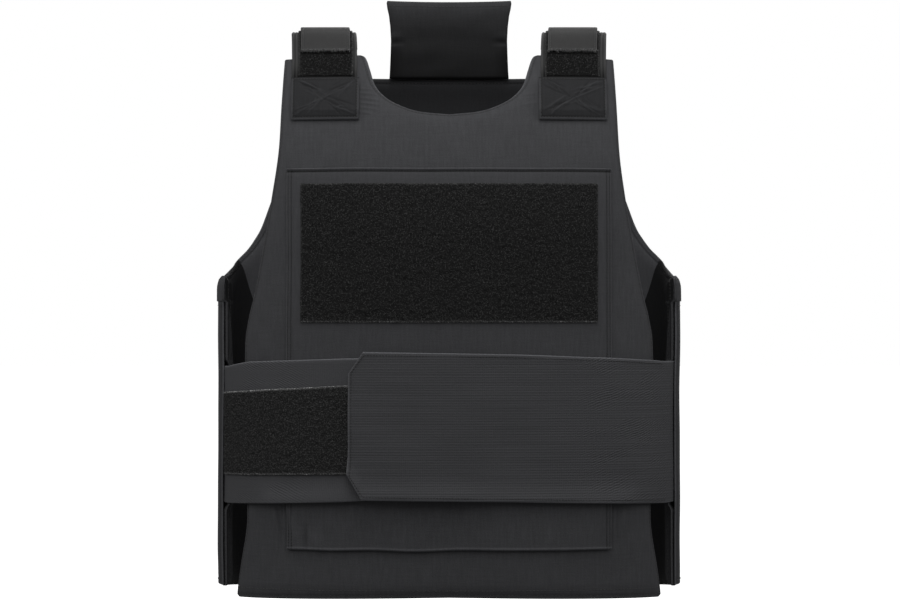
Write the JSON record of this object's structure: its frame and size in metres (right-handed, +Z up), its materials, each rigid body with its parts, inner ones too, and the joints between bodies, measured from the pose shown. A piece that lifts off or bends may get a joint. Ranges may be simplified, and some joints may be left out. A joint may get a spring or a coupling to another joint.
{
  "type": "tactical vest",
  "caption": "Low-profile black cloth vest with padded front and back, wrap-around elastic waist band, hook-and-loop shoulder straps, chest loop field and neck guard.",
  "frame": {"origin": "level of the shoulder ridge, midway between the two shoulder straps, where the wearer's shoulders carry the vest", "axes": "+X towards the wearer's left, -Y out of the wearer's chest, +Z up along the body"},
  "size_m": [0.4436, 0.2489, 0.571],
  "materials": {
    "shell_cloth": "matte woven nylon with a fine weave",
    "lining_cloth": "matte dark lining",
    "strap_cloth": "matte woven nylon, stitched at the borders",
    "elastic": "ribbed woven elastic",
    "loop_pile": "fuzzy loop pile",
    "hook_pile": "short stiff hooks"
  },
  "bodies": {
    "root": {"front_panel": "shell_cloth", "back_panel": "lining_cloth", "back_cover": "shell_cloth", "chest_pocket": "shell_cloth", "chest_loop_field": "loop_pile", "waist_band_under": "elastic", "waist_band_loop_field": "loop_pile", "waist_band_over": "elastic", "neck_guard": "shell_cloth", "shoulder_strap_front_right": "strap_cloth", "shoulder_anchor_right": "strap_cloth", "shoulder_loop_right": "loop_pile", "shoulder_hook_right": "hook_pile", "shoulder_strap_back_right": "strap_cloth", "shoulder_strap_front_left": "strap_cloth", "shoulder_anchor_left": "strap_cloth", "shoulder_loop_left": "loop_pile", "shoulder_hook_left": "hook_pile", "shoulder_strap_back_left": "strap_cloth"}
  },
  "joints": []
}
